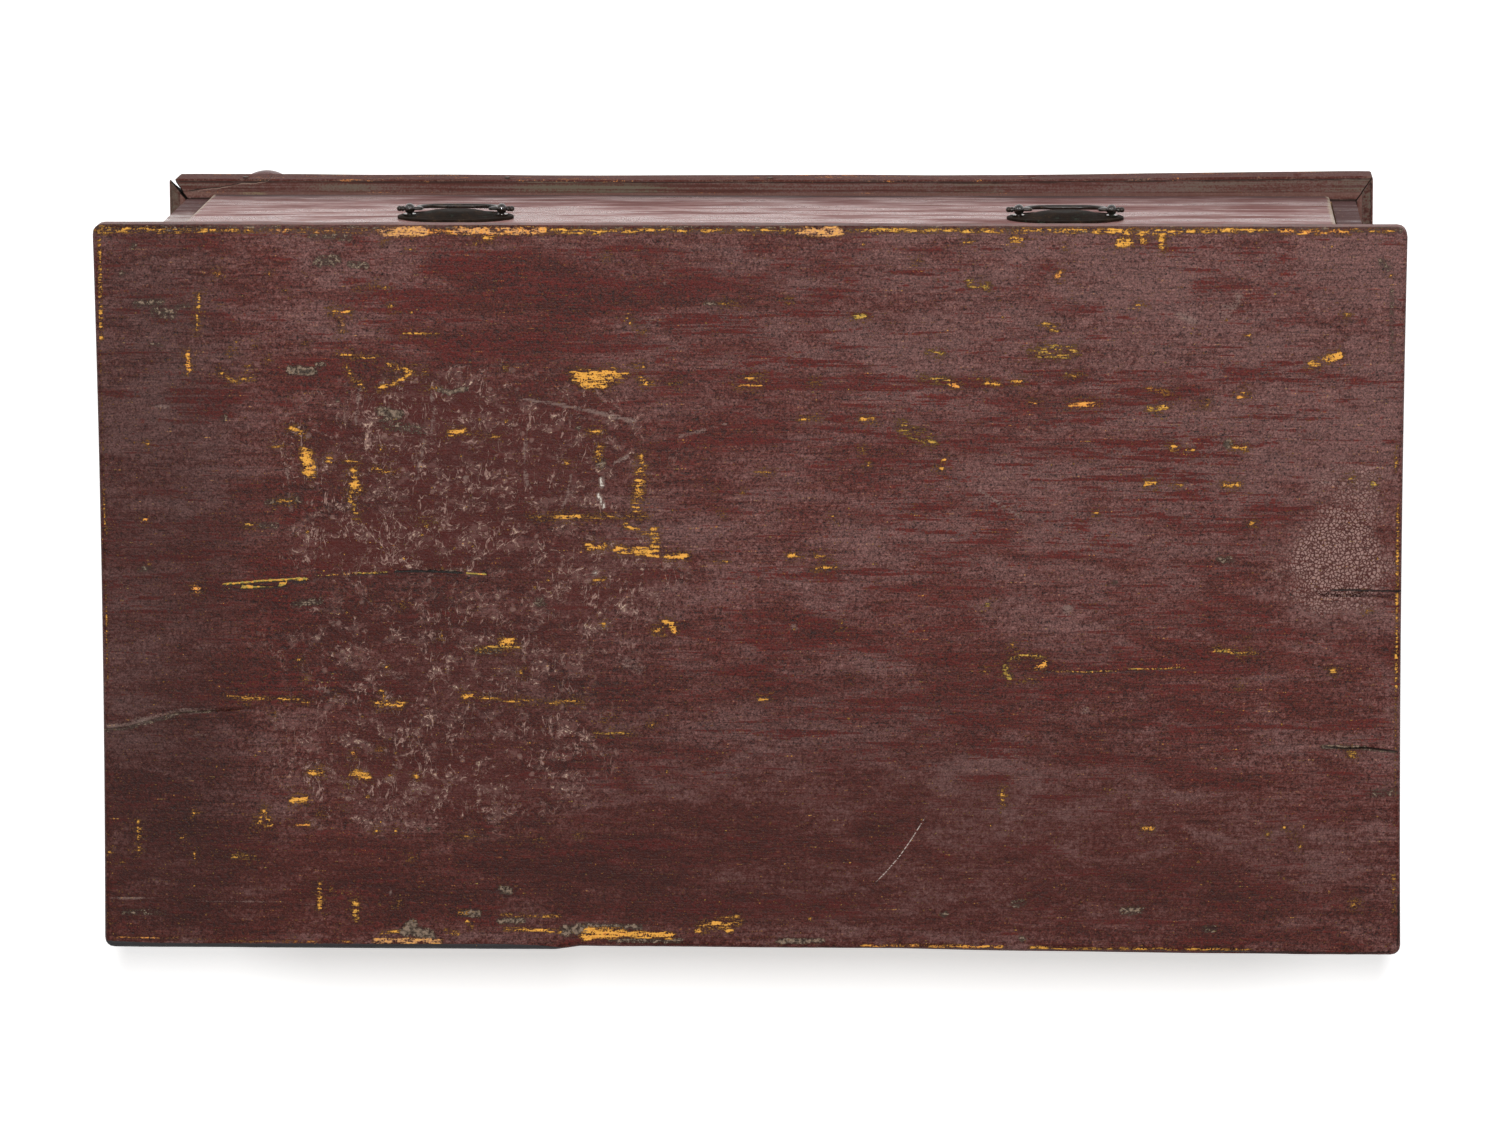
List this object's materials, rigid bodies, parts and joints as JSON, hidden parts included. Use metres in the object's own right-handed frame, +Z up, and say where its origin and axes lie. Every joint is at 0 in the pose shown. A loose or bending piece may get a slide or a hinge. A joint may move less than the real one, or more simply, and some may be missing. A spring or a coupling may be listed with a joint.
{
  "type": "one-drawer chest",
  "caption": "Low painted wooden chest with an overhanging board top, a deep drawer with bail handles, a mitred base moulding and turned feet.",
  "frame": {"origin": "centre of the chest's footprint on the floor", "axes": "+Z up, the front with the drawer faces -Y, +X to the right of someone who faces the front"},
  "size_m": [1.08, 0.608, 0.505],
  "materials": {
    "painted_wood": "worn satin oil paint",
    "case_pine": "raw aged pine",
    "drawer_pine": "raw pine, darkened by use",
    "bronze": "dark patina",
    "iron": "dull, darkened"
  },
  "bodies": {
    "case": {"back_board_lower": "case_pine", "back_board_middle": "case_pine", "back_board_upper": "case_pine", "back_nails": "iron", "base_moulding_front": "painted_wood", "base_moulding_left": "painted_wood", "base_moulding_right": "painted_wood", "bottom_board_front": "case_pine", "bottom_board_rear": "case_pine", "bottom_rail_front": "case_pine", "drawer_stops": "case_pine", "foot_block_front_left": "case_pine", "foot_block_front_right": "case_pine", "foot_block_rear_left": "case_pine", "foot_block_rear_right": "case_pine", "foot_front_left": "painted_wood", "foot_front_right": "painted_wood", "foot_rear_left": "painted_wood", "foot_rear_right": "painted_wood", "glue_blocks": "case_pine", "kicker_left": "case_pine", "kicker_right": "case_pine", "moulding_nails": "iron", "runner_left": "case_pine", "runner_right": "case_pine", "side_board_left": "painted_wood", "side_board_right": "painted_wood", "top_board_front": "painted_wood", "top_board_rear": "painted_wood", "top_dowels": "drawer_pine", "top_rail_front": "case_pine", "top_rail_rear": "case_pine", "top_screws": "iron"},
    "drawer": {"drawer_back": "drawer_pine", "drawer_bottom_front": "drawer_pine", "drawer_bottom_rear": "drawer_pine", "drawer_front": "painted_wood", "drawer_nails": "iron", "drawer_side_left": "drawer_pine", "drawer_side_right": "drawer_pine", "handle_nuts": "bronze", "handle_plate_left": "bronze", "handle_plate_right": "bronze", "handle_post_left_a": "bronze", "handle_post_left_b": "bronze", "handle_post_right_a": "bronze", "handle_post_right_b": "bronze"},
    "bail_left": {"handle_bail_left": "bronze"},
    "bail_right": {"handle_bail_right": "bronze"}
  },
  "joints": [
    {"name": "drawer_slide", "type": "slide", "parent": "case", "child": "drawer", "axis": [0, -1, 0], "range_m": [0, 0.42]},
    {"name": "bail_left_swing", "type": "hinge", "parent": "drawer", "child": "bail_left", "pos_m": [-0.259, -0.2915, 0.27975], "axis": [-1, 0, 0], "range_deg": [-3, 170]},
    {"name": "bail_right_swing", "type": "hinge", "parent": "drawer", "child": "bail_right", "pos_m": [0.259, -0.2915, 0.27975], "axis": [-1, 0, 0], "range_deg": [-3, 170]}
  ]
}
